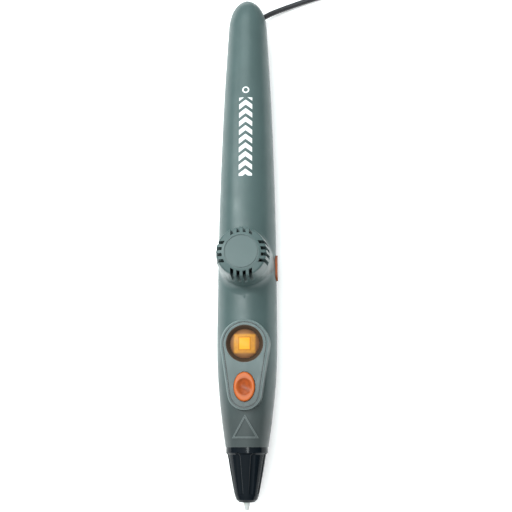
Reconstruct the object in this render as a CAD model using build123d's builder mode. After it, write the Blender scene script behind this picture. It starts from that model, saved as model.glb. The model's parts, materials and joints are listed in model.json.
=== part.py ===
"""A corded hot craft pen that feeds thin plastic filament: tapered two-shell barrel, vented fan turret,
two amber top buttons, one side button, black nose cone and a white ceramic nozzle.

It lies on its belly with the buttons up. +Y runs from the nozzle to the tail, +X is the right hand side
seen from above with the nozzle towards the viewer, and Z = 0 is the surface that the flat belly rests on.
A height called z is measured from the pen's own long axis, which lies AXIS_Z over that surface.
"""

from build123d import *
from math import atan2, cos, degrees, pi, radians, sin, sqrt, tan
import os

# ---------------------------------------------------------------- driving dimensions, millimetres
AXIS_Z = 9.3                # height of the long axis over the belly plane
WALL, BELLY_WALL = 1.5, 1.1
BARREL = [                  # (station along Y, outer radius) from the nose joint to the tail dome
    (-69.8, 7.15), (-58.0, 8.8), (-45.0, 9.95), (-25.0, 10.2), (8.0, 9.85), (45.0, 8.75), (79.0, 7.0),
]
FRONT_Y = BARREL[0][0]
DOME_Y, DOME_R = BARREL[-1]
DOME_LENGTH = 12.5
TAIL_CUT_Y, TAIL_SLOPE = 83.6, radians(25)  # the slanted tail face crosses the axis here, at this slope
SEAM = 0.24                 # width and depth of the parting groove
FIT = 0.05                  # gap round a piece that is fixed in another
RUN = 0.12                  # gap round a piece that slides or turns in another

PAD_TOP, PAD_TAPER = 10.9, 5               # z of the raised control pad, and its side slope in degrees
ROUND_Y, OVAL_Y, PAD_END_Y = -36.4, -50.5, -52.4
PAD_R, PAD_END_R = 8.0, 5.6
PAD_RIM, PAD_LINE, PAD_LINE_DEEP = 0.7, 0.36, 0.35  # rim round the pad, and the groove inside it
BEZEL_R, BEZEL_SEAT, BEZEL_TOP, BEZEL_LOW = 6.2, 9.3, 10.75, 9.75     # its top is a funnel down to the lens
LENS_R, LENS_TOP, LENS_EDGE, LENS_FLANGE_R = 4.8, 11.1, 9.8, 5.4
OVAL_RX, OVAL_RY, OVAL_TOP = 3.5, 4.8, 11.7
OVAL_SEAT, DISH_SPHERE_R, DISH_DEEP = 8.5, 5.6, 0.7       # flange seat, and the thumb dish in the oval's top
TOP_TRAVEL = 0.6

TURRET_Y, TURRET_TOP, CAP_FOOT = -8.3, 24.3, 16.3
CAP_R, CAP_FOOT_R, CAP_WALL, CAP_DISC_R = 8.2, 8.9, 1.3, 5.5
BOSS_FOOT_Z, BOSS_FOOT_R, BOSS_FLARE, BOSS_BORE_R = 2.0, 9.6, 3.0, 7.4
VENT_WIDTH, VENT_PITCH, VENT_COUNT, VENT_START_R, VENT_LOW = 1.05, 2.0, 4, 6.35, 1.0

SIDE_Y, SIDE_LENGTH, SIDE_HEIGHT, SIDE_PROUD = -9.3, 9.0, 4.1, 0.55

NOSE_END_Y, NOSE_RIM_R, FLUTES = -87.4, 7.0, 8
TIP_Y = -90.0
FILAMENT_R, INLET_BORE_R, GUIDE_BORE_R, GUIDE_R = 0.875, 0.95, 1.12, 1.3

POSTS = [(-17.5, 6.0), (58.0, 3.9)]        # (Y, half the spacing in X) of the two pairs of shell screws
POST_R, SCREW_R, SCREW_HEAD_R, SCREW_SEAT = 2.1, 0.8, 1.5, -5.0

BOARD_Z, BOARD_THICK, BOARD_WIDTH, BOARD_ENDS = 3.0, 1.0, 11.0, (-57.5, -22.5)

GEAR_MODULE, PINION_TEETH, SCREW_TEETH = 0.3, 16, 12
HOB_R, HOB_Y, HOB_LENGTH = 2.25, 5.5, 8.0
HOB_Z = FILAMENT_R + HOB_R - 0.08          # the hob bites 0.08 mm into a filament on the axis
GEAR_Y, GEAR_WIDTH = 13.6, 2.4
MOTOR_X, MOTOR_R, MOTOR_Y, MOTOR_LENGTH = 4.0, 3.0, 16.9, 21.0
CENTRES = GEAR_MODULE * (PINION_TEETH + SCREW_TEETH) / 2
MOTOR_Z = HOB_Z - sqrt(CENTRES**2 - MOTOR_X**2)
IDLER_R = 2.0
IDLER_Z = -(FILAMENT_R + IDLER_R)
PIVOT_Y, PIVOT_Z, PIN_R = HOB_Y - 4.7, -4.9, 0.6
FRAME_WALLS = [(-2.4, -0.9), (11.0, 12.2), (15.2, 16.8)]    # (start, end) along Y of the feed frame's walls
FRAME_HALF, FRAME_LOW, FRAME_HIGH, RAIL_IN = 5.6, -5.9, 5.6, 3.2

CORD_R, CORD_REST = 1.0, 1.02
BOOT = [((0.0, 65.5, 5.2), 1.6), ((0.02, 74.0, 5.2), 1.5), ((0.3, 78.4, 5.05), 1.3)]   # centre, radius
LEAD_ROUTE = [              # from the boot's tip, down to the table and along it to the coil
    (0.3, 78.4, 5.05), (0.9, 82.6, 4.6), (3.4, 86.8, 3.5), (8.3, 90.4, 2.0), (16.6, 93.8, 1.1),
    (23.6, 96.1, CORD_REST), (30.0, 97.9, CORD_REST),
]
PLUG_ROUTE = [              # from the coil's top outer turn down to the plug
    (46.4, 113.4, 7.1), (46.7, 122.0, 6.1), (46.2, 129.9, 5.0), (43.2, 135.0, 4.3), (38.1, 137.9, 3.95),
    (32.5, 138.2, 3.9),
]
COIL_CENTRE, COIL_TURN_R, COIL_WIDE, COIL_HIGH, COIL_PITCH = (31.0, 113.4), 11.0, 5, 4, 2.06
PLUG_X, PLUG_Y, PLUG_Z = PLUG_ROUTE[-1]     # the middle of the plug's cord end; the plug points along -X
GRIP_LENGTH, GRIP_WIDTH, GRIP_HIGH, NECK = 16.0, 15.0, 7.6, 3.0
PLUG_LENGTH, PLUG_WIDTH, PLUG_HIGH, PLUG_SHEET = 12.0, 12.0, 4.5, 0.35

PEN_AXIS = Axis((0, 0, AXIS_Z), (0, 1, 0))
KEEL = Plane(origin=(0, 0, AXIS_Z), x_dir=(0, 0, -1), z_dir=(1, 0, 0))  # its x runs down, its y along the pen
BIG = 60.0


# ---------------------------------------------------------------- planes and simple solids
def level(z):
    """The horizontal plane at z."""
    return Plane.XY.offset(AXIS_Z + z)


def across(y):
    """The plane across the pen at station y: its x is X, its y is Z, and it faces the nozzle."""
    return Plane(origin=(0, y, AXIS_Z), x_dir=(1, 0, 0), z_dir=(0, -1, 0))


def turned(*corners):
    """A solid turned about the pen's axis from (radius, station) corners."""
    with BuildPart() as solid:
        with BuildSketch(KEEL):
            with BuildLine():
                Polyline(*corners, close=True)
            make_face()
        revolve(axis=PEN_AXIS)
    return solid.part


def slab(z_low, z_high):
    """All the space between two heights."""
    with BuildPart() as block:
        with BuildSketch(level(z_low)):
            Rectangle(4 * BIG, 5 * BIG)
        extrude(amount=z_high - z_low)
    return block.part


def tail_slab(near, far):
    """The space between two planes parallel to the slanted tail face, near and far mm outside it."""
    face = Plane(
        origin=(0, TAIL_CUT_Y, AXIS_Z), x_dir=(1, 0, 0), z_dir=(0, sin(TAIL_SLOPE), -cos(TAIL_SLOPE))
    )
    with BuildPart() as block:
        with BuildSketch(face.offset(near)):
            Rectangle(BIG, 2 * BIG)
        extrude(amount=far - near)
    return block.part


def rod(y_start, y_end, radius, x=0.0, z=0.0):
    """A round rod parallel to the pen's axis."""
    with BuildPart() as bar:
        with BuildSketch(across(y_end)):
            with Locations((x, z)):
                Circle(radius)
        extrude(amount=y_end - y_start)
    return bar.part


def post(x, y, radius, z_low, z_high):
    """A round post parallel to Z."""
    with BuildPart() as bar:
        with BuildSketch(level(z_low)):
            with Locations((x, y)):
                Circle(radius)
        extrude(amount=z_high - z_low)
    return bar.part


def block(x_ends, y_ends, z_ends):
    """A box between two corners."""
    with BuildPart() as brick:
        with BuildSketch(level(z_ends[0])):
            with Locations(((x_ends[0] + x_ends[1]) / 2, (y_ends[0] + y_ends[1]) / 2)):
                Rectangle(x_ends[1] - x_ends[0], y_ends[1] - y_ends[0])
        extrude(amount=z_ends[1] - z_ends[0])
    return brick.part


def barrel_form(inset):
    """The barrel's round form drawn in by inset: a spline body and an elliptical tail dome."""
    with BuildPart() as solid:
        with BuildSketch(KEEL):
            with BuildLine():
                side = Spline(*[(r - inset, y) for y, r in BARREL], tangents=[(0.16, 1), (-0.06, 1)])
                dome = Spline(
                    *[
                        (
                            (DOME_R - inset) * cos(t * pi / 8),
                            DOME_Y + (DOME_LENGTH - inset) * sin(t * pi / 8),
                        )
                        for t in range(5)
                    ],
                    tangents=[(0, 1), (-1, 0)],
                )
                Polyline(dome @ 1, (0, FRONT_Y), side @ 0)
            make_face()
        revolve(axis=PEN_AXIS)
    return solid.part


def spur_gear(teeth, x, z, turn, bore_r):
    """A straight spur gear in the gear plane, on a shaft parallel to Y, with teeth cut slim for backlash."""
    pitch_r = GEAR_MODULE * teeth / 2
    tip_r, root_r = pitch_r + 0.9 * GEAR_MODULE, pitch_r - 1.25 * GEAR_MODULE
    half_pitch = 180 / teeth
    flank = [(root_r - 0.1, 0.62), (pitch_r, 0.42), (tip_r, 0.2)]      # radius, share of half a pitch
    outline = [(r, -share) for r, share in flank] + [(r, share) for r, share in reversed(flank)]
    with BuildPart() as gear:
        with BuildSketch(across(GEAR_Y + GEAR_WIDTH / 2)):
            with Locations((x, z)):
                Circle(root_r)
            for i in range(teeth):
                polar = [(r, radians(turn + half_pitch * (2 * i + share))) for r, share in outline]
                with BuildLine():
                    Polyline(*[(x + r * cos(a), z + r * sin(a)) for r, a in polar], close=True)
                make_face()
            with Locations((x, z)):
                Circle(bore_r, mode=Mode.SUBTRACT)
        extrude(amount=GEAR_WIDTH)
    return gear.part


OUTER = barrel_form(0)
BELLY = slab(-BIG, -AXIS_Z)
BEYOND_TAIL = tail_slab(0, 2 * BIG)

with BuildPart() as cavity:
    add(barrel_form(WALL))
    add(slab(BELLY_WALL - AXIS_Z, BIG), mode=Mode.INTERSECT)
CAVITY = cavity.part

with BuildPart() as seam:
    add(OUTER)
    add(slab(-SEAM / 2, SEAM / 2), mode=Mode.INTERSECT)
    add(barrel_form(SEAM), mode=Mode.SUBTRACT)
SEAM_GROOVE = seam.part


def side_block(grow, x_start, x_end):
    """The side button's stadium, grown all round, between two stations along X."""
    with BuildPart() as bar:
        with BuildSketch(Plane(origin=(x_start, SIDE_Y, AXIS_Z), x_dir=(0, 1, 0), z_dir=(1, 0, 0))):
            SlotOverall(SIDE_LENGTH + 2 * grow, SIDE_HEIGHT + 2 * grow)
        extrude(amount=x_end - x_start)
    return bar.part


def oval_block(grow, z_low, z_high):
    """The oval button's outline, grown all round, between two heights."""
    with BuildPart() as bar:
        with BuildSketch(level(z_low)):
            with Locations((0, OVAL_Y)):
                Ellipse(OVAL_RX + grow, OVAL_RY + grow)
        extrude(amount=z_high - z_low)
    return bar.part


def ribs(stations, x_ends=(-BIG, BIG)):
    """Cross walls of the barrel's inside at some stations, 1.2 mm thick."""
    with BuildPart() as walls:
        for y in stations:
            add(block(x_ends, (y - 0.6, y + 0.6), (-AXIS_Z, AXIS_Z)))
        add(CAVITY, mode=Mode.INTERSECT)
    return walls.part


MOTOR_RIBS, TUBE_RIBS = (20.0, 35.0), (47.0, 63.5)


# ---------------------------------------------------------------- barrel shells
with BuildPart() as boss_form:
    with BuildSketch(level(BOSS_FOOT_Z)):
        with Locations((0, TURRET_Y)):
            Circle(BOSS_FOOT_R)
    with BuildSketch(level(CAP_FOOT)):
        with Locations((0, TURRET_Y)):
            Circle(CAP_FOOT_R)
    loft()

def pad_block(inset, z_low, taper=0.0):
    """The pad's egg outline, drawn in by inset at its top, down to z_low."""
    with BuildPart() as egg:
        with BuildSketch(level(PAD_TOP)):
            with Locations((0, ROUND_Y)):
                Circle(PAD_R - inset)
            with Locations((0, PAD_END_Y)):
                Circle(PAD_END_R - inset)
            make_hull()
        extrude(amount=z_low - PAD_TOP, taper=-taper)
    return egg.part


with BuildPart() as pad_form:
    add(pad_block(0, 2.9, PAD_TAPER))
    fillet(pad_form.faces().sort_by(Axis.Z)[-1].edges(), 0.5)
    add(pad_block(PAD_RIM, PAD_TOP - PAD_LINE_DEEP), mode=Mode.SUBTRACT)
    add(pad_block(PAD_RIM + PAD_LINE, PAD_TOP - 1))

TRIANGLE_Y, TRIANGLE_SIDE, TRIANGLE_LINE, TRIANGLE_PROUD = -64.4, 8.7, 0.5, 0.3
with BuildPart() as triangle_form:
    with BuildSketch(level(0)):
        with Locations((0, TRIANGLE_Y)):
            RegularPolygon(TRIANGLE_SIDE / sqrt(3), 3, rotation=90)
            RegularPolygon(TRIANGLE_SIDE / sqrt(3) - 2 * TRIANGLE_LINE, 3, rotation=90, mode=Mode.SUBTRACT)
    extrude(amount=BIG)
    add(barrel_form(-TRIANGLE_PROUD), mode=Mode.INTERSECT)

with BuildPart() as upper_shell:
    add(OUTER)
    add(boss_form.part)
    curves = upper_shell.edges().filter_by(GeomType.BSPLINE)
    fillet([e for e in curves if abs(e.center().Y - TURRET_Y) < 3 and e.center().Z > AXIS_Z + 2], BOSS_FLARE)
    add(pad_form.part)
    add(triangle_form.part)
    add(CAVITY, mode=Mode.SUBTRACT)
    add(post(0, TURRET_Y, BOSS_BORE_R, 3, BIG), mode=Mode.SUBTRACT)
    for y, half in POSTS:
        for x in (-half, half):
            with BuildPart(mode=Mode.PRIVATE) as stud:
                add(post(x, y, POST_R, 0, BIG))
                add(barrel_form(WALL / 2), mode=Mode.INTERSECT)
            add(stud.part)
            add(post(x, y, SCREW_R + FIT, -1, 4.8), mode=Mode.SUBTRACT)
    add(ribs(MOTOR_RIBS))
    add(rod(MOTOR_Y, MOTOR_Y + MOTOR_LENGTH, MOTOR_R + FIT, MOTOR_X, MOTOR_Z), mode=Mode.SUBTRACT)
    add(rod(0, 70, GUIDE_R + FIT), mode=Mode.SUBTRACT)
    add(block((0, MOTOR_X), (MOTOR_Y, MOTOR_Y + MOTOR_LENGTH), (-1, MOTOR_Z)), mode=Mode.SUBTRACT)
    add(post(0, ROUND_Y, BEZEL_R + FIT, BEZEL_SEAT, BIG), mode=Mode.SUBTRACT)
    add(post(0, ROUND_Y, LENS_FLANGE_R + RUN, 2, BIG), mode=Mode.SUBTRACT)
    add(oval_block(RUN, 2, BIG), mode=Mode.SUBTRACT)
    add(oval_block(0.6 + RUN, 2, OVAL_SEAT), mode=Mode.SUBTRACT)
    add(side_block(RUN, 6.5, 20), mode=Mode.SUBTRACT)
    add(slab(-BIG, 0), mode=Mode.SUBTRACT)
    add(BEYOND_TAIL, mode=Mode.SUBTRACT)
    add(SEAM_GROOVE, mode=Mode.SUBTRACT)
    upper_shell.part.label = "upper_shell"

with BuildPart() as lower_shell:
    add(OUTER)
    add(BELLY, mode=Mode.SUBTRACT)
    add(CAVITY, mode=Mode.SUBTRACT)
    for y, half in POSTS:
        for x in (-half, half):
            with BuildPart(mode=Mode.PRIVATE) as stud:
                add(post(x, y, POST_R, -BIG, 0))
                add(barrel_form(WALL / 2), mode=Mode.INTERSECT)
                add(slab(-BIG, 0.5 - AXIS_Z), mode=Mode.SUBTRACT)
            add(stud.part)
            add(post(x, y, SCREW_R + FIT, SCREW_SEAT - 1, 1), mode=Mode.SUBTRACT)
            add(post(x, y, SCREW_HEAD_R + FIT, -BIG, SCREW_SEAT), mode=Mode.SUBTRACT)
    add(ribs(MOTOR_RIBS + TUBE_RIBS))
    with BuildPart(mode=Mode.PRIVATE) as frame_rests:
        add(ribs([(start + end) / 2 for start, end in (FRAME_WALLS[0], FRAME_WALLS[-1])]))
        add(slab(FRAME_LOW, BIG), mode=Mode.SUBTRACT)
    add(frame_rests.part)
    add(rod(MOTOR_Y, MOTOR_Y + MOTOR_LENGTH, MOTOR_R + FIT, MOTOR_X, MOTOR_Z), mode=Mode.SUBTRACT)
    add(rod(0, 70, GUIDE_R + FIT), mode=Mode.SUBTRACT)
    add(block((0, MOTOR_X), (MOTOR_Y, MOTOR_Y + MOTOR_LENGTH), (-1, MOTOR_Z)), mode=Mode.SUBTRACT)
    add(side_block(RUN, 6.5, 20), mode=Mode.SUBTRACT)
    add(slab(0, BIG), mode=Mode.SUBTRACT)
    add(BEYOND_TAIL, mode=Mode.SUBTRACT)
    add(SEAM_GROOVE, mode=Mode.SUBTRACT)
    lower_shell.part.label = "lower_shell"


with BuildPart() as fan_cap:
    with BuildSketch(Plane(origin=(0, TURRET_Y, AXIS_Z), x_dir=(1, 0, 0), z_dir=(0, -1, 0))):
        with BuildLine():
            Polyline(
                (0, TURRET_TOP),
                (CAP_DISC_R + 0.2, TURRET_TOP),
                (CAP_R - 0.55, TURRET_TOP - 0.45),
                (CAP_R - 0.15, TURRET_TOP - 0.7),
                (CAP_R, TURRET_TOP - 1.15),
                (CAP_FOOT_R, CAP_FOOT + 0.3),
                (CAP_FOOT_R, CAP_FOOT),
                (BOSS_BORE_R - FIT, CAP_FOOT),
                (BOSS_BORE_R - FIT, CAP_FOOT - 1.6),
                (BOSS_BORE_R - 0.9, CAP_FOOT - 1.6),
                (BOSS_BORE_R - 0.9, CAP_FOOT + 0.8),
                (CAP_R - CAP_WALL, TURRET_TOP - 2.2),
                (CAP_R - CAP_WALL - 0.9, TURRET_TOP - CAP_WALL),
                (0, TURRET_TOP - CAP_WALL),
                close=True,
            )
        make_face()
    revolve(axis=Axis((0, TURRET_Y, 0), (0, 0, 1)))
    with BuildSketch(level(TURRET_TOP)):
        with Locations((0, TURRET_Y)):
            Circle(CAP_DISC_R)
            Circle(CAP_DISC_R - 0.24, mode=Mode.SUBTRACT)
    extrude(amount=-0.3, mode=Mode.SUBTRACT)
    with BuildPart(mode=Mode.PRIVATE) as vents:
        with BuildSketch(level(CAP_FOOT + VENT_LOW)):
            with Locations((0, TURRET_Y)):
                with PolarLocations(7.5, 4):
                    with GridLocations(1, VENT_PITCH, 1, VENT_COUNT):
                        Rectangle(7, VENT_WIDTH)
        extrude(amount=10)
        add(post(0, TURRET_Y, VENT_START_R, 0, BIG), mode=Mode.SUBTRACT)
    add(vents.part, mode=Mode.SUBTRACT)
    fan_cap.part.label = "fan_cap"

# ---------------------------------------------------------------- nose and nozzle
NOSE_PROFILE = [            # (radius, station) down the outside of the nose cone
    (NOSE_RIM_R, FRONT_Y), (NOSE_RIM_R, -71.6), (6.45, -72.2), (5.5, -77.6), (4.5, -82.8), (3.95, -85.4),
    (3.5, -86.6), (2.6, NOSE_END_Y), (1.5, NOSE_END_Y),
]
with BuildPart() as nose_cone:
    add(turned(
        *NOSE_PROFILE, (1.5, -86.0), (2.6, -85.8), (3.3, -82.8), (4.3, -77.6), (4.9, -72.5), (4.75, -62.5),
        (5.55, -62.5), (5.55, FRONT_Y),
    ))
    with BuildPart(mode=Mode.PRIVATE) as flutes:
        for i in range(FLUTES):
            angle = radians(22.5 + 360 * i / FLUTES)
            flute_foot = Vector(7.55 * cos(angle), -72.9, AXIS_Z + 7.55 * sin(angle))
            flute_end = Vector(5.35 * cos(angle), -85.0, AXIS_Z + 5.35 * sin(angle))
            run = flute_end - flute_foot
            with BuildSketch(Plane(origin=flute_foot, z_dir=run)):
                Circle(1.55)
            extrude(amount=run.length)
            with Locations(Location(flute_foot)):
                Sphere(1.55)
    add(flutes.part, mode=Mode.SUBTRACT)
    nose_cone.part.label = "nose_cone"

with BuildPart() as nozzle_tip:
    add(turned(
        (0.35, TIP_Y), (0.55, TIP_Y), (0.72, TIP_Y + 0.3), (1.1, NOSE_END_Y - 0.2),
        (1.25, -86.6), (1.4, -85.6),
        (1.4, -80.0), (0.9, -80.0), (0.9, -86.5), (0.35, -88.0),
    ))
    nozzle_tip.part.label = "nozzle_tip"

with BuildPart() as nozzle_nut:
    with BuildSketch(across(-80.8)):
        RegularPolygon(2.75, 6)
        Circle(1.4 + FIT, mode=Mode.SUBTRACT)
    extrude(amount=2.4)
    nozzle_nut.part.label = "nozzle_nut"

with BuildPart() as heater_tube:
    add(turned(
        (GUIDE_BORE_R, -79.9), (1.6, -79.9), (1.6, -66.5), (2.4, -66.5), (2.4, -65.3), (1.6, -65.3),
        (1.6, -61.0), (GUIDE_R + 0.03, -61.0), (GUIDE_R + 0.03, -64.0), (GUIDE_BORE_R, -64.0),
    ))
    heater_tube.part.label = "heater_tube"

with BuildPart() as heater_sleeve:
    add(rod(-78.6, -67.4, 2.5))
    add(rod(-80, -60, 1.6 + FIT), mode=Mode.SUBTRACT)
    for x in (-0.9, 0.9):
        add(rod(-70, -60, 0.25, x, 2.05), mode=Mode.SUBTRACT)
    heater_sleeve.part.label = "heater_sleeve"

with BuildPart() as thermistor:
    add(rod(-74.5, -72.5, 0.45, 0, 2.98))
    thermistor.part.label = "thermistor"

with BuildPart() as heat_shield:
    add(turned((3.95, -76.0), (4.1, -76.0), (4.6, -65.4), (4.45, -65.4)))
    heat_shield.part.label = "heat_shield"

with BuildPart() as heat_collar:
    add(rod(-65.2, -63.0, 4.7))
    add(rod(-66, -62, 1.6 + FIT), mode=Mode.SUBTRACT)
    for side in (-1, 1):
        add(rod(-66, -62, 0.7, 0, 3.2 * side), mode=Mode.SUBTRACT)
    heat_collar.part.label = "heat_collar"

# ---------------------------------------------------------------- top and side buttons
with BuildPart() as feed_button_bezel:
    with BuildSketch(Plane(origin=(0, ROUND_Y, AXIS_Z), x_dir=(1, 0, 0), z_dir=(0, -1, 0))):
        with BuildLine():
            Polyline(
                (LENS_R + RUN, BEZEL_SEAT), (BEZEL_R, BEZEL_SEAT), (BEZEL_R, BEZEL_TOP),
                (BEZEL_R - 0.2, BEZEL_TOP),
                (LENS_R + RUN, BEZEL_LOW), close=True,
            )
        make_face()
    revolve(axis=Axis((0, ROUND_Y, 0), (0, 0, 1)))
    feed_button_bezel.part.label = "feed_button_bezel"

with BuildPart() as feed_button:
    dome_rise = LENS_TOP - LENS_EDGE
    with BuildSketch(Plane(origin=(0, ROUND_Y, AXIS_Z), x_dir=(1, 0, 0), z_dir=(0, -1, 0))):
        with BuildLine():
            dome = ThreePointArc(
                (0, LENS_TOP), (LENS_R * 0.55, LENS_TOP - dome_rise * 0.27), (LENS_R, LENS_EDGE)
            )
            Polyline(
                dome @ 1,
                (LENS_R, BEZEL_SEAT - RUN),
                (LENS_FLANGE_R, BEZEL_SEAT - RUN),
                (LENS_FLANGE_R, BEZEL_SEAT - 1.0),
                (4.4, BEZEL_SEAT - 1.0),
                (4.4, BEZEL_SEAT - 0.2),
                (0, BEZEL_SEAT - 0.2),
                dome @ 0,
            )
        make_face()
    revolve(axis=Axis((0, ROUND_Y, 0), (0, 0, 1)))
    feed_button.part.label = "feed_button"

SWITCH_Z = BOARD_Z + BOARD_THICK
with BuildPart() as feed_switch:
    add(block((-3.1, 3.1), (ROUND_Y - 2.7, ROUND_Y + 2.7), (SWITCH_Z, SWITCH_Z + 2.6)))
    chamfer(feed_switch.edges().filter_by(Axis.Z), 0.3)
    feed_switch.part.label = "feed_switch"

with BuildPart() as indicator_led:
    add(block((-1.7, 1.7), (ROUND_Y - 1.7, ROUND_Y + 1.7), (SWITCH_Z + 2.6, BEZEL_SEAT - 0.25 - TOP_TRAVEL)))
    fillet(indicator_led.edges().filter_by(Axis.Z), 0.2)
    indicator_led.part.label = "indicator_led"

with BuildPart() as mode_button:
    add(oval_block(0, SWITCH_Z + 4.0, OVAL_TOP))
    add(oval_block(0.6, OVAL_SEAT - 1.0, OVAL_SEAT - 0.06))
    fillet(mode_button.faces().sort_by(Axis.Z)[-1].edges(), 0.55)
    with Locations(Location((0, OVAL_Y, AXIS_Z + OVAL_TOP + DISH_SPHERE_R - DISH_DEEP))):
        Sphere(DISH_SPHERE_R, mode=Mode.SUBTRACT)
    with Locations(Location((0, OVAL_Y, AXIS_Z + SWITCH_Z + 3.3))):
        Cylinder(1.6, 3.0)
    mode_button.part.label = "mode_button"

with BuildPart() as mode_switch:
    add(block((-2.3, 2.3), (OVAL_Y - 2.3, OVAL_Y + 2.3), (SWITCH_Z, SWITCH_Z + 0.9)))
    add(post(0, OVAL_Y, 1.0, SWITCH_Z + 0.9, SWITCH_Z + 1.75 - TOP_TRAVEL))
    mode_switch.part.label = "mode_switch"

with BuildPart() as main_board:
    add(block((-BOARD_WIDTH / 2, BOARD_WIDTH / 2), BOARD_ENDS, (BOARD_Z, BOARD_Z + BOARD_THICK)))
    fillet(main_board.edges().filter_by(Axis.Z), 0.8)
    for x, y, length, width in ((0, -28.5, 4.0, 4.0), (3.4, -43.5, 2.6, 3.4), (-3.4, -43.5, 2.0, 2.6)):
        with BuildSketch(level(BOARD_Z + BOARD_THICK)):
            with Locations((x, y)):
                Rectangle(length, width)
        extrude(amount=1.1)
    main_board.part.label = "main_board"

SIDE_SEAT = 8.1             # station along X of the side button's flange face
with BuildPart() as side_button:
    add(side_block(0, 7.0, 20))
    add(barrel_form(-SIDE_PROUD), mode=Mode.INTERSECT)
    add(side_block(0.6, 7.1, SIDE_SEAT))
    with BuildSketch(Plane(origin=(6.65, SIDE_Y, AXIS_Z), x_dir=(0, 1, 0), z_dir=(1, 0, 0))):
        Circle(1.3)
    extrude(amount=1.0)
    side_button.part.label = "side_button"

with BuildPart() as side_board:
    add(block((3.1, 3.9), (SIDE_Y - 5.5, SIDE_Y + 5.5), (-4.4, 4.4)))
    side_board.part.label = "side_board"

with BuildPart() as side_switch:
    add(block((3.9, 5.5), (SIDE_Y - 2.2, SIDE_Y + 2.2), (-2.2, 2.2)))
    with BuildSketch(Plane(origin=(5.5, SIDE_Y, AXIS_Z), x_dir=(0, 1, 0), z_dir=(1, 0, 0))):
        Circle(1.0)
    extrude(amount=0.6)
    side_switch.part.label = "side_switch"

# ---------------------------------------------------------------- turret fan
with BuildPart() as fan_ring:
    add(post(0, TURRET_Y, BOSS_BORE_R - FIT, 8.2, CAP_FOOT - 1.7))
    add(post(0, TURRET_Y, 6.6, 0, BIG), mode=Mode.SUBTRACT)
    add(post(0, TURRET_Y, 3.9, 8.2, 10.6))
    with BuildSketch(level(8.2)):
        with Locations((0, TURRET_Y)):
            with PolarLocations(5.2, 3, start_angle=90):
                Rectangle(3.2, 1.4)
    extrude(amount=1.2)
    add(post(0, TURRET_Y, 3.0 + FIT, 0, BIG), mode=Mode.SUBTRACT)
    fan_ring.part.label = "fan_ring"

with BuildPart() as fan_motor:
    add(post(0, TURRET_Y, 3.0, 6.8, 10.9))
    fillet(fan_motor.edges(), 0.3)
    add(post(0, TURRET_Y, 1.0, 6.4, 7.2))
    add(post(0, TURRET_Y, 0.5 + RUN, 9.6, 12), mode=Mode.SUBTRACT)
    fan_motor.part.label = "fan_motor"

with BuildPart() as fan_rotor:
    add(post(0, TURRET_Y, 2.2, 11.4, 14.4))
    fillet(fan_rotor.faces().sort_by(Axis.Z)[-1].edges(), 0.6)
    add(post(0, TURRET_Y, 0.5, 9.8, 11.6))
    with BuildPart(mode=Mode.PRIVATE) as blades:
        with Locations(Location((0, TURRET_Y, AXIS_Z + 12.9))):
            with PolarLocations(4.0, 7):
                Box(4.8, 0.5, 3.4, rotation=(38, 0, 0))
        add(post(0, TURRET_Y, 6.2, 11.6, 14.2), mode=Mode.INTERSECT)
    add(blades.part)
    fan_rotor.part.label = "fan_rotor"

# ---------------------------------------------------------------- filament feed
with BuildPart() as feed_motor:
    add(rod(MOTOR_Y, MOTOR_Y + MOTOR_LENGTH, MOTOR_R, MOTOR_X, MOTOR_Z))
    with BuildPart(mode=Mode.PRIVATE) as waist_groove:
        add(rod(MOTOR_Y + 9.0, MOTOR_Y + 9.4, MOTOR_R + 1, MOTOR_X, MOTOR_Z))
        add(rod(MOTOR_Y, MOTOR_Y + MOTOR_LENGTH, MOTOR_R - 0.25, MOTOR_X, MOTOR_Z), mode=Mode.SUBTRACT)
    add(waist_groove.part, mode=Mode.SUBTRACT)
    add(rod(MOTOR_Y + MOTOR_LENGTH, MOTOR_Y + MOTOR_LENGTH + 0.8, 1.0, MOTOR_X, MOTOR_Z))
    add(rod(MOTOR_Y, MOTOR_Y + 1.6, 0.5 + RUN, MOTOR_X, MOTOR_Z), mode=Mode.SUBTRACT)
    feed_motor.part.label = "feed_motor"

MESH_LINE = degrees(atan2(MOTOR_Z - HOB_Z, MOTOR_X))        # from the screw's centre to the pinion's
with BuildPart() as motor_pinion:
    add(spur_gear(PINION_TEETH, MOTOR_X, MOTOR_Z, MESH_LINE + 180, 0.3))
    add(rod(GEAR_Y - GEAR_WIDTH / 2, MOTOR_Y + 1.4, 0.5, MOTOR_X, MOTOR_Z))
    motor_pinion.part.label = "motor_pinion"

SCREW_BEARING = 0.08        # running gap of the feed screw, the idler and its pin
with BuildPart() as feed_screw:
    with BuildSketch(level(HOB_Z)):
        with BuildLine():
            ridge_count, ridge = 10, HOB_LENGTH / 10
            start = HOB_Y - HOB_LENGTH / 2
            ridges = []
            for i in range(ridge_count):
                ridges += [(HOB_R - 0.3, start + i * ridge), (HOB_R, start + (i + 0.3) * ridge)]
                ridges += [(HOB_R, start + (i + 0.5) * ridge), (HOB_R - 0.3, start + (i + 0.8) * ridge)]
            Polyline(
                (0, start), *ridges, (HOB_R - 0.3, start + HOB_LENGTH), (0, start + HOB_LENGTH), close=True
            )
        make_face()
    revolve(axis=Axis((0, 0, AXIS_Z + HOB_Z), (0, 1, 0)))
    add(rod(FRAME_WALLS[0][0], FRAME_WALLS[-1][0] - 0.15, 0.75, 0, HOB_Z))
    add(spur_gear(SCREW_TEETH, 0, HOB_Z, MESH_LINE + 180 / SCREW_TEETH, 0.3))
    feed_screw.part.label = "feed_screw"

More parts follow.
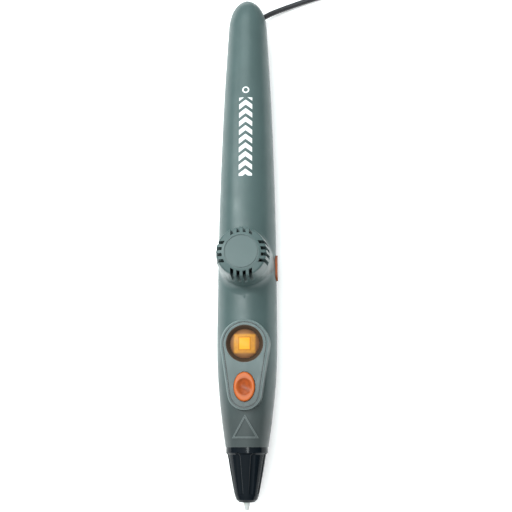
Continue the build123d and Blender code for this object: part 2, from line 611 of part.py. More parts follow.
with BuildPart() as feed_frame:
    for start, end in FRAME_WALLS:
        add(block((-FRAME_HALF, FRAME_HALF), (start, end), (FRAME_LOW, FRAME_HIGH)))
    for side in (-1, 1):
        x_ends = sorted((side * RAIL_IN, side * (RAIL_IN + 1.2)))
        add(block(x_ends, (FRAME_WALLS[0][0], FRAME_WALLS[-1][1]), (FRAME_LOW, PIVOT_Z + 1.2)))
    add(barrel_form(WALL + 0.1), mode=Mode.INTERSECT)
    add(rod(-5, 20, GUIDE_R + FIT), mode=Mode.SUBTRACT)
    add(rod(-5, 12.5, 0.75 + SCREW_BEARING, 0, HOB_Z), mode=Mode.SUBTRACT)
    add(rod(15, 17, 0.5 + RUN, MOTOR_X, MOTOR_Z), mode=Mode.SUBTRACT)
    with BuildSketch(Plane(origin=(-BIG, PIVOT_Y, AXIS_Z + PIVOT_Z), x_dir=(0, 1, 0), z_dir=(1, 0, 0))):
        Circle(PIN_R + 0.02)
    extrude(amount=2 * BIG, mode=Mode.SUBTRACT)
    feed_frame.part.label = "feed_frame"


def crossbar(y, z, radius, half):
    """A round bar parallel to X, half long each way."""
    with BuildPart() as bar:
        with BuildSketch(Plane(origin=(-half, y, AXIS_Z + z), x_dir=(0, 1, 0), z_dir=(1, 0, 0))):
            Circle(radius)
        extrude(amount=2 * half)
    return bar.part


with BuildPart() as idler_pin:
    add(crossbar(PIVOT_Y, PIVOT_Z, PIN_R, RAIL_IN + 1.1))
    idler_pin.part.label = "idler_pin"

ARM_IN, ARM_OUT, ARM_END_Y = 1.6, 2.4, HOB_Y + 4.2
with BuildPart() as idler_arm:
    for x_start in (-ARM_OUT, ARM_IN):
        with BuildSketch(Plane(origin=(x_start, 0, AXIS_Z), x_dir=(0, 1, 0), z_dir=(1, 0, 0))):
            with Locations((PIVOT_Y, PIVOT_Z)):
                Circle(1.1)
            with Locations((HOB_Y, IDLER_Z)):
                Circle(1.0)
            with Locations((ARM_END_Y, PIVOT_Z - 0.1)):
                Circle(0.8)
            make_hull()
        extrude(amount=ARM_OUT - ARM_IN)
    add(block((-ARM_OUT, ARM_OUT), (ARM_END_Y - 0.8, ARM_END_Y + 0.6), (PIVOT_Z - 0.7, PIVOT_Z + 0.3)))
    add(crossbar(HOB_Y, IDLER_Z, 0.5, ARM_OUT))
    add(crossbar(PIVOT_Y, PIVOT_Z, PIN_R + SCREW_BEARING, 10), mode=Mode.SUBTRACT)
    idler_arm.part.label = "idler_arm"

with BuildPart() as idler_roller:
    with BuildSketch(level(IDLER_Z)):
        with BuildLine():
            Polyline(
                (-1.45, HOB_Y), (-1.45, HOB_Y + IDLER_R), (-0.6, HOB_Y + IDLER_R),
                (0, HOB_Y + IDLER_R - 0.35),
                (0.6, HOB_Y + IDLER_R), (1.45, HOB_Y + IDLER_R), (1.45, HOB_Y), close=True,
            )
        make_face()
    revolve(axis=Axis((0, HOB_Y, AXIS_Z + IDLER_Z), (1, 0, 0)))
    add(crossbar(HOB_Y, IDLER_Z, 0.5 + SCREW_BEARING, 10), mode=Mode.SUBTRACT)
    idler_roller.part.label = "idler_roller"

SPRING_R, SPRING_WIRE_R = 0.92, 0.17
with BuildPart() as idler_spring:
    with BuildLine() as winding:
        Helix(0.5, 2.5, SPRING_R, center=(-1.25, PIVOT_Y, AXIS_Z + PIVOT_Z), direction=(1, 0, 0))
    with BuildSketch(Plane(origin=winding.edges()[0] @ 0, z_dir=winding.edges()[0] % 0)):
        Circle(SPRING_WIRE_R)
    sweep(path=winding.wires()[0], is_frenet=True)
    idler_spring.part.label = "idler_spring"

# ---------------------------------------------------------------- filament way and tail
with BuildPart() as guide_tube_front:
    add(rod(-63.9, FRAME_WALLS[0][1], GUIDE_R))
    add(rod(-70, 20, GUIDE_BORE_R), mode=Mode.SUBTRACT)
    guide_tube_front.part.label = "guide_tube_front"

with BuildPart() as guide_tube_rear:
    add(rod(FRAME_WALLS[-1][0], 77.9, GUIDE_R))
    add(rod(10, 80, GUIDE_BORE_R), mode=Mode.SUBTRACT)
    guide_tube_rear.part.label = "guide_tube_rear"

INLET_R, INLET_ENDS = 1.8, (76.0, 87.2)
with BuildPart() as filament_inlet:
    add(rod(*INLET_ENDS, INLET_R))
    add(rod(70, 90, INLET_BORE_R), mode=Mode.SUBTRACT)
    add(rod(70, 78.0, GUIDE_R + 0.03), mode=Mode.SUBTRACT)
    filament_inlet.part.label = "filament_inlet"

with BuildPart() as tail_plug:
    add(barrel_form(WALL + 0.06))
    add(tail_slab(-2.1, -0.3), mode=Mode.INTERSECT)
    add(slab(BELLY_WALL + 0.06 - AXIS_Z, BIG), mode=Mode.INTERSECT)
    add(rod(60, 95, INLET_R + 0.03), mode=Mode.SUBTRACT)
    add(rod(60, 95, BOOT[0][1] + 0.04, 0, BOOT[0][0][2] - AXIS_Z), mode=Mode.SUBTRACT)
    tail_plug.part.label = "tail_plug"

with BuildPart() as shell_screws:
    for y, half in POSTS:
        for x in (-half, half):
            add(post(x, y, SCREW_HEAD_R, SCREW_SEAT - 1.1, SCREW_SEAT))
            add(post(x, y, SCREW_R, SCREW_SEAT, 4.6))
            with BuildSketch(level(SCREW_SEAT - 1.1)):
                with Locations((x, y)):
                    Rectangle(1.9, 0.4)
                    Rectangle(0.4, 1.9)
            extrude(amount=0.6, mode=Mode.SUBTRACT)
    shell_screws.part.label = "shell_screws"


# ---------------------------------------------------------------- cord, coil and plug
def cord_tube(route):
    """A round tube along straight runs joined by arcs, each as large as its two runs allow."""
    corners = [Vector(*p) for p in route]
    radii = []
    for before, corner, after in zip(corners, corners[1:], corners[2:]):
        shorter = min((corner - before).length, (after - corner).length)
        turn = radians((corner - before).get_angle(after - corner))
        radii.append(0.45 * shorter / tan(turn / 2))
    with BuildPart() as tube:
        with BuildLine() as path:
            FilletPolyline(*corners, radius=radii)
        with BuildSketch(Plane(origin=corners[0], z_dir=corners[1] - corners[0])):
            Circle(CORD_R)
        sweep(path=path.wires()[0])
    length = path.wires()[0].length
    print("cord run", round(length, 1), "radii", [round(r, 1) for r in radii],
          "volume over section times length", round(tube.part.volume / (pi * CORD_R**2 * length), 4))
    return tube.part


with BuildPart() as cord_boot:
    for (centre, radius), (ahead, _) in zip(BOOT, BOOT[1:] + [(LEAD_ROUTE[1], 0)]):
        with BuildSketch(Plane(origin=centre, x_dir=(1, 0, 0), z_dir=Vector(*ahead) - Vector(*centre))):
            Circle(radius)
    loft()
    add(rod(64.4, 65.6, 1.85, 0, BOOT[0][0][2] - AXIS_Z))
    cord_boot.part.label = "cord_boot"

with BuildPart() as cord_lead:
    add(cord_tube(LEAD_ROUTE))
    cord_lead.part.label = "cord_lead"

with BuildPart() as cord_coil:
    half_band = COIL_WIDE * COIL_PITCH / 2
    with BuildSketch(Plane.XY):
        with Locations(COIL_CENTRE):
            Circle(COIL_TURN_R + half_band)
            Circle(COIL_TURN_R - half_band, mode=Mode.SUBTRACT)
    extrude(amount=COIL_PITCH * COIL_HIGH)
    cord_coil.part.label = "cord_coil"

with BuildPart() as cord_end:
    add(cord_tube(PLUG_ROUTE))
    cord_end.part.label = "cord_end"

with BuildPart() as usb_plug_grip:
    with BuildSketch(Plane(origin=(PLUG_X - NECK, PLUG_Y, PLUG_Z), x_dir=(0, 1, 0), z_dir=(-1, 0, 0))):
        RectangleRounded(GRIP_WIDTH, GRIP_HIGH, 2.2)
    extrude(amount=GRIP_LENGTH)
    fillet(usb_plug_grip.faces().sort_by(Axis.X)[-1].edges(), 1.4)
    fillet(usb_plug_grip.faces().sort_by(Axis.X)[0].edges(), 0.5)
    with BuildSketch(Plane(origin=(PLUG_X, PLUG_Y, PLUG_Z), x_dir=(0, 1, 0), z_dir=(-1, 0, 0))):
        Circle(1.7)
    with BuildSketch(Plane(origin=(PLUG_X - NECK - 1, PLUG_Y, PLUG_Z), x_dir=(0, 1, 0), z_dir=(-1, 0, 0))):
        Circle(2.6)
    loft()
    usb_plug_grip.part.label = "usb_plug_grip"

PLUG_FACE_X = PLUG_X - NECK - GRIP_LENGTH
with BuildPart() as usb_plug_shell:
    with BuildSketch(Plane(origin=(PLUG_FACE_X, PLUG_Y, PLUG_Z), x_dir=(0, 1, 0), z_dir=(-1, 0, 0))):
        RectangleRounded(PLUG_WIDTH, PLUG_HIGH, 0.5)
        RectangleRounded(PLUG_WIDTH - 2 * PLUG_SHEET, PLUG_HIGH - 2 * PLUG_SHEET, 0.3, mode=Mode.SUBTRACT)
    extrude(amount=PLUG_LENGTH)
    for side in (-1, 1):
        for face in (-1, 1):
            window = (PLUG_FACE_X - 8.2, PLUG_Y + side * 3.0, PLUG_Z + face * PLUG_HIGH / 2)
            with BuildSketch(Plane(origin=window, x_dir=(1, 0, 0), z_dir=(0, 0, 1))):
                Rectangle(2.4, 2.4)
            extrude(amount=0.6, both=True, mode=Mode.SUBTRACT)
    usb_plug_shell.part.label = "usb_plug_shell"

with BuildPart() as usb_plug_insert:
    floor_z = PLUG_Z - PLUG_HIGH / 2 + PLUG_SHEET
    with BuildSketch(Plane(origin=(PLUG_FACE_X, PLUG_Y, floor_z + 0.95), x_dir=(0, 1, 0), z_dir=(-1, 0, 0))):
        Rectangle(PLUG_WIDTH - 2 * PLUG_SHEET - 0.4, 1.8)
    extrude(amount=PLUG_LENGTH - 0.4)
    usb_plug_insert.part.label = "usb_plug_insert"


os.makedirs("parts", exist_ok=True)
for piece in (
    upper_shell, lower_shell, shell_screws, fan_cap, fan_ring, fan_motor, fan_rotor,
    nose_cone, nozzle_tip, nozzle_nut, heater_tube, heater_sleeve, thermistor, heat_shield, heat_collar,
    feed_button_bezel, feed_button, feed_switch, indicator_led, mode_button, mode_switch, main_board,
    side_button, side_board, side_switch,
    feed_motor, motor_pinion, feed_screw, feed_frame, idler_pin, idler_arm, idler_roller, idler_spring,
    guide_tube_front, guide_tube_rear, filament_inlet, tail_plug,
    cord_boot, cord_lead, cord_coil, cord_end, usb_plug_grip, usb_plug_shell, usb_plug_insert,
):
    export_step(piece.part, f"parts/{piece.part.label}.step")
    print(piece.part.label, round(piece.part.volume, 1), len(piece.part.solids()), piece.part.is_valid)
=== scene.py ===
"""The looks of a corded hot craft pen: camera, studio light, the cord's wound line and every finish."""

import json
import math

import bpy
from mathutils import Matrix, Vector


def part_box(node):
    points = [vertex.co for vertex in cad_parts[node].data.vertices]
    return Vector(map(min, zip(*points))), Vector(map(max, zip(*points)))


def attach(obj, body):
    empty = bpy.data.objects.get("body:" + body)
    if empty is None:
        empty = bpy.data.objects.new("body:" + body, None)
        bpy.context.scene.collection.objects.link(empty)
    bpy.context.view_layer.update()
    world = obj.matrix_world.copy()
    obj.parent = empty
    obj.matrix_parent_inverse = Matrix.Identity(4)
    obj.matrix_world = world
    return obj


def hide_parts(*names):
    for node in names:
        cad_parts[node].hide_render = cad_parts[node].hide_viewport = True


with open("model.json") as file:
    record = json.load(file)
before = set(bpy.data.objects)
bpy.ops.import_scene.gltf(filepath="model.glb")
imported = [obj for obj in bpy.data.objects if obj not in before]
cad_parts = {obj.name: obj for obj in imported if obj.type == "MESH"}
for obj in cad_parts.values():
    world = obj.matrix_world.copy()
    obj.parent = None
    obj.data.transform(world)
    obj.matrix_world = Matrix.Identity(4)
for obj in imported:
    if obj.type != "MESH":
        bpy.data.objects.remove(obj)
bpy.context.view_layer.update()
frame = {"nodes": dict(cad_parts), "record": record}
NODES = frame["nodes"]
MM = 0.001


def middle(node):
    """The centre of a CAD node's box."""
    low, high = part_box(node)
    return (low + high) / 2


# ---------------------------------------------------------------- camera, floor and light
def add_camera():
    """A long lens nearly overhead, a little towards the nozzle and to the pen's right."""
    place, aim = Vector((25.4, -69.0, 309.3)) * MM, Vector((3.0, -4.8, 9.3)) * MM
    ahead = (aim - place).normalized()
    right = ahead.cross(Vector((0, 1, 0))).normalized()
    camera = bpy.data.objects.new("camera", bpy.data.cameras.new("camera"))
    camera.matrix_world = (
        Matrix.Translation(place) @ Matrix((right, right.cross(ahead), -ahead)).transposed().to_4x4()
    )
    camera.data.lens = 62.2
    camera.data.sensor_width = 36.0
    camera.data.clip_start = 0.01
    bpy.context.collection.objects.link(camera)
    bpy.context.scene.camera = camera


def add_light(name, place, aim, size, power, colour=(1, 1, 1)):
    """A softbox at place facing aim, with its width and length in metres, and its power in watts."""
    lamp = bpy.data.lights.new(name, "AREA")
    lamp.shape = "RECTANGLE"
    lamp.size, lamp.size_y = size
    lamp.energy = power
    lamp.color = colour
    holder = bpy.data.objects.new(name, lamp)
    holder.location = place
    holder.rotation_euler = (Vector(aim) - Vector(place)).to_track_quat("-Z", "Y").to_euler()
    bpy.context.collection.objects.link(holder)


def add_world(horizon, zenith, right_dimming):
    """A white surrounding that brightens from the horizon to overhead, and is dimmer on the pen's right."""
    world = bpy.data.worlds.new("studio")
    world.use_nodes = True
    tree = world.node_tree
    shell = tree.nodes["Background"]
    shell.inputs["Color"].default_value = (0.98, 1.0, 1.0, 1)
    direction = tree.nodes.new("ShaderNodeTexCoord")
    split = tree.nodes.new("ShaderNodeSeparateXYZ")
    rise = tree.nodes.new("ShaderNodeMapRange")
    tree.links.new(direction.outputs["Generated"], split.inputs[0])
    tree.links.new(split.outputs["Z"], rise.inputs["Value"])
    rise.inputs["To Min"].default_value = horizon
    rise.inputs["To Max"].default_value = zenith
    lean = tree.nodes.new("ShaderNodeMapRange")
    tree.links.new(split.outputs["X"], lean.inputs["Value"])
    lean.inputs["To Min"].default_value = 1.0
    lean.inputs["To Max"].default_value = 1.0 - right_dimming
    strength = tree.nodes.new("ShaderNodeMath")
    strength.operation = "MULTIPLY"
    tree.links.new(rise.outputs[0], strength.inputs[0])
    tree.links.new(lean.outputs[0], strength.inputs[1])
    tree.links.new(strength.outputs[0], shell.inputs["Strength"])
    bpy.context.scene.world = world
    bpy.context.scene.view_settings.view_transform = "Standard"


# ---------------------------------------------------------------- the cord
LEAD_ROUTE = [
    (0.3, 78.4, 5.05), (0.9, 82.6, 4.6), (3.4, 86.8, 3.5), (8.3, 90.4, 2.0), (16.6, 93.8, 1.1),
    (23.6, 96.1, 1.02), (30.0, 97.9, 1.02),
]
PLUG_ROUTE = [
    (46.4, 113.4, 7.1), (46.7, 122.0, 6.1), (46.2, 129.9, 5.0), (43.2, 135.0, 4.3), (38.1, 137.9, 3.95),
    (32.5, 138.2, 3.9),
]
COIL_CENTRE, COIL_TURN_R, COIL_WIDE, COIL_PITCH, COIL_REST = (31.0, 113.4), 11.0, 5, 2.06, 1.02
TURN_POINTS = 16
COIL_LAST = 16 * TURN_POINTS + 3
LAYER_RISE, SPLINE_DRAW_IN = 2.01, 0.981      # a layer's height, and how far inside its points the line runs
CORD_WIDTH = 2.0 * MM


def smooth(value, start, end):
    """0 before start, 1 after end, and an even S between them."""
    share = min(max((value - start) / (end - start), 0), 1)
    return share * share * (3 - 2 * share)


def coil_point(step):
    """A control point of the coil. Each turn shifts sideways by one place; each full row climbs a layer."""
    turn, part = divmod(step / TURN_POINTS, 1)
    last = COIL_WIDE - 1
    place_now, place_next = (last - abs(last - n % (2 * last)) for n in (turn, turn + 1))
    place_in_row = place_now + (place_next - place_now) * smooth(part, 0.6, 0.85)
    layer = sum(smooth(turn + part, n + 0.35, n + 0.6) for n in (last, 2 * last, 3 * last))
    radius = (COIL_TURN_R + (last / 2 - place_in_row) * COIL_PITCH) / SPLINE_DRAW_IN
    angle = 2 * math.pi * step / TURN_POINTS - math.pi / 2
    return (
        COIL_CENTRE[0] + radius * math.cos(angle),
        COIL_CENTRE[1] + radius * math.sin(angle),
        COIL_REST + layer * LAYER_RISE,
    )


def add_cord():
    """The whole lead as one smooth line: boot to table, wound coil, and out to the plug.

    The thickness is in the points' own radius, and the bevel only multiplies it by one metre.
    """
    points = LEAD_ROUTE + [coil_point(step) for step in range(1, COIL_LAST + 1)] + PLUG_ROUTE
    curve = bpy.data.curves.new("cord", "CURVE")
    curve.dimensions = "3D"
    spline = curve.splines.new("NURBS")
    spline.points.add(len(points) - 1)
    for point, place in zip(spline.points, points):
        point.co = (*(Vector(place) * MM), 1)
        point.radius = CORD_WIDTH / 2
    spline.order_u = 3
    spline.use_endpoint_u = True
    spline.resolution_u = 4
    curve.bevel_depth = 1.0
    curve.bevel_resolution = 5
    curve.use_fill_caps = True
    cord = bpy.data.objects.new("cord", curve)
    bpy.context.collection.objects.link(cord)
    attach(cord, "root")
    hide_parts("cord_lead", "cord_coil", "cord_end")
    return cord


add_camera()
cord = add_cord()
add_world(0.30, 1.15, 0.6)
add_light("key", (-0.21, 0.10, 0.54), (0, 0, 0), (0.07, 0.9), 3.8, (0.92, 1.0, 1.0))
add_light("top", (-0.12, 0.50, 0.60), (0, 0, 0), (0.5, 0.4), 1.8, (0.85, 1.0, 1.0))


# ---------------------------------------------------------------- finishes
class Finish:
    """A node material being built up on one Principled shader, with its patterns in the row's own metres."""

    def __init__(self, name, colour, roughness, **sockets):
        self.material = bpy.data.materials.new(name)
        self.material.use_nodes = True
        self.tree = self.material.node_tree
        self.shader = self.tree.nodes["Principled BSDF"]
        self.colour = (*colour, 1)
        self.shader.inputs["Base Color"].default_value = self.colour
        self.shader.inputs["Roughness"].default_value = roughness
        for socket, value in sockets.items():
            self.shader.inputs[socket.replace("_", " ")].default_value = value
        self.place = self.add("ShaderNodeTexCoord").outputs["Object"]

    def add(self, kind, **settings):
        """A new node with some of its settings."""
        node = self.tree.nodes.new(kind)
        for key, value in settings.items():
            setattr(node, key, value)
        return node

    def feed(self, socket, value):
        """Links an output to a socket, or sets the socket to a number or colour."""
        if isinstance(value, bpy.types.NodeSocket):
            self.tree.links.new(value, socket)
        else:
            socket.default_value = value

    def maths(self, operation, *values):
        """The result of a Math node."""
        node = self.add("ShaderNodeMath", operation=operation)
        for socket, value in zip(node.inputs, values):
            self.feed(socket, value)
        return node.outputs[0]

    def product(self, first, *others):
        """All the values multiplied."""
        for other in others:
            first = self.maths("MULTIPLY", first, other)
        return first

    def distance(self, across, along):
        """How far a point at across and along is from their zero."""
        squares = (self.maths("POWER", value, 2.0) for value in (across, along))
        return self.maths("SQRT", self.maths("ADD", *squares))

    def noise(self, grain, detail=3.0, stretch=(1, 1, 1)):
        """Noise with a grain in millimetres, drawn out along the axes by stretch."""
        scale = self.add("ShaderNodeMapping")
        scale.inputs["Scale"].default_value = [1 / s for s in stretch]
        self.feed(scale.inputs["Vector"], self.place)
        texture = self.add("ShaderNodeTexNoise")
        self.feed(texture.inputs["Vector"], scale.outputs[0])
        texture.inputs["Scale"].default_value = 1 / (grain * MM)
        texture.inputs["Detail"].default_value = detail
        return texture.outputs["Fac"]

    def remap(self, value, low, high, to_low=0.0, to_high=1.0):
        """Value from low to high carried to another range, and held at its ends."""
        node = self.add("ShaderNodeMapRange")
        for socket, number in zip(node.inputs, (value, low, high, to_low, to_high)):
            self.feed(socket, number)
        return node.outputs[0]

    def blend(self, factor, first, second):
        """A colour that goes from first to second."""
        node = self.add("ShaderNodeMix", data_type="RGBA")
        self.feed(node.inputs[0], factor)
        self.feed(node.inputs[6], first)
        self.feed(node.inputs[7], second)
        return node.outputs[2]

    def paint(self, colour):
        """The base colour."""
        self.feed(self.shader.inputs["Base Color"], colour)

    def gloss(self, value):
        """The roughness."""
        self.feed(self.shader.inputs["Roughness"], value)

    def bump(self, height, depth):
        """Bumps as deep as depth in millimetres."""
        node = self.add("ShaderNodeBump")
        node.inputs["Strength"].default_value = 1.0
        node.inputs["Distance"].default_value = depth * MM
        self.feed(node.inputs["Height"], height)
        self.feed(self.shader.inputs["Normal"], node.outputs[0])

    def mottle(self, amount, grain):
        """The plain colour, a little lighter and darker in broad soft patches."""
        patches = self.remap(self.noise(grain, 2.0), 0.3, 0.7)
        dark = [c * (1 - amount) for c in self.colour[:3]] + [1]
        light = [min(c * (1 + amount), 1) for c in self.colour[:3]] + [1]
        return self.blend(patches, dark, light)

    def axes(self):
        """X, Y and Z in metres."""
        node = self.add("ShaderNodeSeparateXYZ")
        self.feed(node.inputs[0], self.place)
        return node.outputs


def moulded(name, colour, roughness, grain=0.35, depth=0.012, mottle=0.05, **sockets):
    """Moulded plastic: a fine spark-eroded grain, soft patches of colour and of gloss."""
    finish = Finish(name, colour, roughness, **sockets)
    finish.paint(finish.mottle(mottle, 9.0))
    finish.gloss(finish.remap(finish.noise(4.0, 4.0), 0.3, 0.7, roughness - 0.05, roughness + 0.05))
    finish.bump(finish.noise(grain, 3.0), depth)
    return finish


def metal(name, colour, roughness, stretch=(1, 1, 1), grain=0.15, depth=0.004):
    """Bare metal with the fine lines or grain that its making leaves."""
    finish = Finish(name, colour, roughness, Metallic=1.0)
    lines = finish.noise(grain, 4.0, stretch)
    finish.paint(finish.mottle(0.06, 3.0))
    finish.gloss(finish.remap(lines, 0.3, 0.7, roughness - 0.06, roughness + 0.08))
    finish.bump(lines, depth)
    return finish


def upward(finish):
    """How far the surface faces up: 1 on top, 0 on a wall."""
    node = finish.add("ShaderNodeSeparateXYZ")
    finish.feed(node.inputs[0], finish.add("ShaderNodeTexCoord").outputs["Normal"])
    return node.outputs["Z"]


def between(finish, value, low, high, soft):
    """1 from low to high, fading out over soft at both ends."""
    rise = finish.remap(value, low - soft, low + soft)
    return finish.product(rise, finish.remap(value, high - soft, high + soft, 1, 0))


PAD_NOSE_END, PAD_TAIL_END = -58.6 * MM, -27.8 * MM
PAD_ROUND_Y, PAD_INSIDE, PAD_RIM_START = -36.4 * MM, 6.5 * MM, 6.8 * MM
PAD_EDGE_LOW, PAD_EDGE_HIGH = 19.5 * MM, 20.19 * MM
GROOVE_LOW, GROOVE_HIGH = 19.7 * MM, 20.0 * MM
TRIANGLE_Y, TRIANGLE_REACH, TRIANGLE_LINE = -64.4 * MM, 2.51 * MM, 0.5 * MM


def beside_pad(finish, y):
    """1 along the length of the control pad."""
    return between(finish, y, PAD_NOSE_END, PAD_TAIL_END, 0.1 * MM)


def painted_highlight_pad_edge(finish, x, y, z):
    """A painted highlight along the raised control pad's rounded edge, paler than the shell."""
    high = between(finish, z, PAD_EDGE_LOW, PAD_EDGE_HIGH, 0.05 * MM)
    rounded = between(finish, upward(finish), 0.15, 0.95, 0.05)
    away = finish.distance(x, finish.maths("SUBTRACT", y, PAD_ROUND_Y))
    outside = finish.remap(away, PAD_INSIDE, PAD_RIM_START)
    return finish.product(beside_pad(finish, y), high, outside, rounded, 0.45)


def painted_shade_pad_groove(finish, y, z):
    """Painted shade: the dark bottom of the fine groove inside the pad's rim."""
    low = between(finish, z, GROOVE_LOW, GROOVE_HIGH, 0.03 * MM)
    flat = finish.remap(upward(finish), 0.95, 0.99)
    return finish.product(beside_pad(finish, y), low, flat)


def painted_highlight_triangle_edges(finish, x, y):
    """A painted highlight: paler edges along both sides of the raised triangle's lines."""
    up = finish.maths("SUBTRACT", y, TRIANGLE_Y)
    side = math.cos(math.radians(30))
    sloping = finish.maths(
        "ADD", finish.maths("MULTIPLY", up, 0.5), finish.maths("MULTIPLY", finish.maths("ABSOLUTE", x), side)
    )
    reach = finish.maths("MAXIMUM", sloping, finish.maths("MULTIPLY", up, -1.0))
    off_middle = finish.maths("SUBTRACT", reach, TRIANGLE_REACH - TRIANGLE_LINE / 2)
    off_line = finish.maths("SUBTRACT", finish.maths("ABSOLUTE", off_middle), TRIANGLE_LINE / 2 - 0.08 * MM)
    return finish.remap(finish.maths("ABSOLUTE", off_line), 0.04 * MM, 0.12 * MM, 0.5, 0)


def chevron_print(finish, x, y, z):
    """Where the white print is: a row of chevrons and a ring, on the barrel's back only."""
    start, end, half_width, pitch, lean = 21.5 * MM, 50.5 * MM, 2.3 * MM, 3.2 * MM, 0.75
    ring_y, ring_radius, ring_half_line = 53.4 * MM, 1.0 * MM, 0.2 * MM
    soft = 0.06 * MM
    across = finish.maths("ABSOLUTE", x)
    from_start = finish.maths("SUBTRACT", y, start)
    along = finish.maths("ADD", from_start, finish.maths("MULTIPLY", across, lean))
    phase = finish.maths("PINGPONG", along, pitch / 2)
    row = finish.product(
        finish.remap(phase, pitch * 0.21 - soft, pitch * 0.21 + soft),
        finish.remap(across, half_width - soft, half_width + soft, 1, 0),
        finish.remap(y, start - soft, start + soft),
        finish.remap(y, end - soft, end + soft, 1, 0),
    )
    radius = finish.distance(x, finish.maths("SUBTRACT", y, ring_y))
    off_ring = finish.maths("ABSOLUTE", finish.maths("SUBTRACT", radius, ring_radius))
    ring = finish.remap(off_ring, ring_half_line, ring_half_line + soft, 1, 0)
    on_top = finish.remap(z, 12.0 * MM, 12.5 * MM)
    wear = finish.remap(finish.noise(0.5, 4.0), 0.25, 0.4, 0.75, 0.96)
    return finish.product(finish.maths("MAXIMUM", row, ring), on_top, wear)


def slate_shell():
    """The barrel's slate green plastic with its print, painted shade making it darker and greyer towards the
    nose and in the pad's groove, and painted highlights along the pad's and the triangle's edges.
    """
    colour = (0.062, 0.098, 0.097)
    finish = moulded("slate_shell", colour, 0.34, 0.30, 0.010, Specular_IOR_Level=0.35)
    x, y, z = finish.axes()
    # Painted shade: the barrel goes darker and greyer towards the nose.
    painted_shade_towards_nose = finish.remap(y, -38.0 * MM, -62.0 * MM)
    body = finish.blend(painted_shade_towards_nose, finish.mottle(0.05, 9.0), (0.048, 0.060, 0.060, 1))
    # Painted highlight along the pad's rounded edge.
    body = finish.blend(painted_highlight_pad_edge(finish, x, y, z), body, (0.30, 0.36, 0.36, 1))
    # Painted shade in the bottom of the pad's groove.
    body = finish.blend(painted_shade_pad_groove(finish, y, z), body, (0.012, 0.018, 0.018, 1))
    # Painted highlight along both sides of the triangle's lines.
    body = finish.blend(painted_highlight_triangle_edges(finish, x, y), body, (0.26, 0.30, 0.30, 1))
    finish.paint(finish.blend(chevron_print(finish, x, y, z), body, (0.82, 0.84, 0.84, 1)))
    return finish


def amber_lens():
    """The lit round button, opaque, with the light of the lamp beneath painted on: a painted glow from a
    lighter middle to a dark amber rim, a lighter frame, a painted shade border, and the lamp's bright
    square.
    """
    finish = Finish("amber_lens", (0.55, 0.20, 0.05), 0.32, Specular_IOR_Level=0.12)
    x, y, _ = finish.axes()
    centre = middle("feed_button")
    from_x = finish.maths("ABSOLUTE", finish.maths("SUBTRACT", x, centre.x))
    from_y = finish.maths("ABSOLUTE", finish.maths("SUBTRACT", y, centre.y))
    radius = finish.distance(from_x, from_y)

    def window(half_x, half_y, soft):
        """1 inside an upright rectangle given in millimetres."""
        wide = finish.remap(from_x, (half_x - soft) * MM, (half_x + soft) * MM, 1, 0)
        high = finish.remap(from_y, (half_y - soft) * MM, (half_y + soft) * MM, 1, 0)
        return finish.product(wide, high)

    painted_glow_frame_mask, painted_shade_border_mask, painted_glow_lamp_mask = window(3.5, 3.1, 0.3), window(2.1, 2.25, 0.12), window(1.7, 1.9, 0.12)
    # Painted glow of the lamp beneath, fading to the dark rim.
    rim = finish.remap(radius, 3.3 * MM, 4.9 * MM)
    body = finish.blend(rim, (0.28, 0.13, 0.05, 1), (0.13, 0.06, 0.03, 1))
    haze = finish.remap(finish.noise(1.1, 3.0), 0.3, 0.7, 0.6, 1.0)
    # Painted glow: the lighter frame.
    body = finish.blend(finish.product(painted_glow_frame_mask, haze), body, (0.56, 0.25, 0.04, 1))
    # Painted shade: a darker border round the lamp's square.
    body = finish.blend(painted_shade_border_mask, body, (0.42, 0.17, 0.02, 1))
    # Painted glow: the lamp's bright square.
    body = finish.blend(painted_glow_lamp_mask, body, (0.78, 0.28, 0.022, 1))
    finish.paint(body)
    # The painted square and frame also glow, though the lens is no lamp.
    glow = finish.maths("ADD", finish.product(painted_glow_lamp_mask, 0.30), finish.product(painted_glow_frame_mask, 0.05))
    finish.feed(finish.shader.inputs["Emission Color"], body)
    finish.feed(finish.shader.inputs["Emission Strength"], glow)
    return finish


def orange_button(name, node):
    """Translucent orange plastic with a darker middle, and painted shade darkening the rim."""
    finish = Finish(name, (0.50, 0.12, 0.03), 0.30, Specular_IOR_Level=0.20, Subsurface_Weight=0.1)
    finish.shader.inputs["Subsurface Radius"].default_value = (0.0012, 0.0004, 0.0001)
    x, y, _ = finish.axes()
    low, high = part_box(node)
    centre, half = (low + high) / 2, (high - low) / 2
    share_x = finish.maths("DIVIDE", finish.maths("SUBTRACT", x, centre.x), half.x)
    share_y = finish.maths("DIVIDE", finish.maths("SUBTRACT", y, centre.y), half.y)
    away_x, away_y = (finish.maths("POWER", share, 2.0) for share in (share_x, share_y))
    from_middle = finish.maths("ADD", away_x, away_y)
    # Where the painted shade at the rim falls.
    edge = finish.remap(from_middle, 0.62, 0.95)
    cloud = finish.remap(finish.noise(1.6, 3.0), 0.3, 0.7)
    dish = finish.blend(cloud, (0.22, 0.040, 0.006, 1), (0.36, 0.066, 0.010, 1))
    body = finish.blend(finish.remap(from_middle, 0.2, 0.42), dish, (0.46, 0.105, 0.020, 1))
    # Painted shade: the button's outer band goes darker.
    finish.paint(finish.blend(edge, body, (0.26, 0.058, 0.010, 1)))
    finish.bump(finish.noise(0.8, 2.0), 0.008)
    return finish


def circuit_board():
    """Green solder mask with paler tracks."""
    finish = Finish("circuit_board", (0.012, 0.10, 0.04), 0.35, Coat_Weight=0.3)
    tracks = finish.add("ShaderNodeTexVoronoi", feature="DISTANCE_TO_EDGE")
    tracks.inputs["Scale"].default_value = 700
    finish.feed(tracks.inputs["Vector"], finish.place)
    line = finish.remap(tracks.outputs["Distance"], 0.04, 0.07, 1, 0)
    finish.paint(finish.blend(line, finish.mottle(0.1, 2.0), (0.03, 0.20, 0.08, 1)))
    return finish


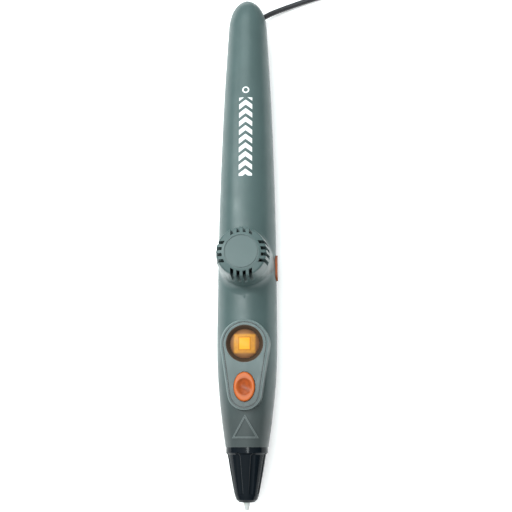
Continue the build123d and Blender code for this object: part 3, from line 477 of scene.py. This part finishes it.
FINISHES = {
    "shell_slate": slate_shell(),
    "nose_black": moulded("nose_black", (0.002, 0.005, 0.008), 0.14, 0.4, 0.004, Specular_IOR_Level=0.16),
    "ceramic_white": moulded(
        "ceramic_white", (0.55, 0.56, 0.54), 0.30, 0.25, 0.006, 0.08, Subsurface_Weight=0.1
    ),
    "lens_amber": amber_lens(),
    "button_orange": orange_button("orange_oval", "mode_button"),
    "bezel_dark": moulded("bezel_dark", (0.052, 0.032, 0.020), 0.34, 0.5, 0.006, Specular_IOR_Level=0.2),
    "led_yellow": moulded("led_yellow", (0.95, 0.55, 0.08), 0.3, Emission_Strength=0.4),
    "switch_black": moulded("switch_black", (0.02, 0.02, 0.022), 0.45),
    "board_green": circuit_board(),
    "plug_white": moulded("plug_white", (0.72, 0.72, 0.70), 0.4),
    "frame_grey": moulded("frame_grey", (0.09, 0.09, 0.10), 0.5),
    "fan_black": moulded("fan_black", (0.018, 0.018, 0.02), 0.4),
    "brass": metal("turned_brass", (0.70, 0.48, 0.20), 0.28, (1, 0.1, 1)),
    "steel": metal("machined_steel", (0.50, 0.51, 0.53), 0.32, (1, 0.1, 1)),
    "steel_plated": metal("plated_steel", (0.40, 0.41, 0.43), 0.22, (8, 1, 1)),
    "foil": metal("rolled_foil", (0.75, 0.75, 0.76), 0.25, (1, 6, 1)),
    "ptfe": moulded("slippery_tube", (0.70, 0.70, 0.68), 0.35, Subsurface_Weight=0.2),
    "cord_grey": moulded("cord_jacket", (0.014, 0.014, 0.017), 0.38, 0.5, 0.02, 0.10),
}
SIDE_BUTTON = orange_button("orange_side", "side_button")


def dress(piece, finish):
    """Gives a piece one finish all over."""
    piece.data.materials.clear()
    piece.data.materials.append(finish.material)


for entry in frame["record"]["subparts"]:
    dress(NODES[entry["node"]], FINISHES[entry["material_slot"]])
dress(NODES["side_button"], SIDE_BUTTON)
dress(cord, FINISHES["cord_grey"])


def add_floor():
    """A plain pale sheet under the pen, with a weak glow of its own that lifts its shadows."""
    mesh = bpy.data.meshes.new("floor")
    reach, drop = 1.2, 0.0001
    corners = [(-reach, -reach, 0), (reach, -reach, 0), (reach, reach, 0), (-reach, reach, 0)]
    mesh.from_pydata(corners, [], [(0, 1, 2, 3)])
    floor = bpy.data.objects.new("floor", mesh)
    floor.location.z = -drop
    bpy.context.collection.objects.link(floor)
    finish = Finish("floor_paper", (0.97, 0.97, 0.97), 0.9, Emission_Strength=0.28)
    finish.paint(finish.mottle(0.01, 60.0))
    dress(floor, finish)


add_floor()
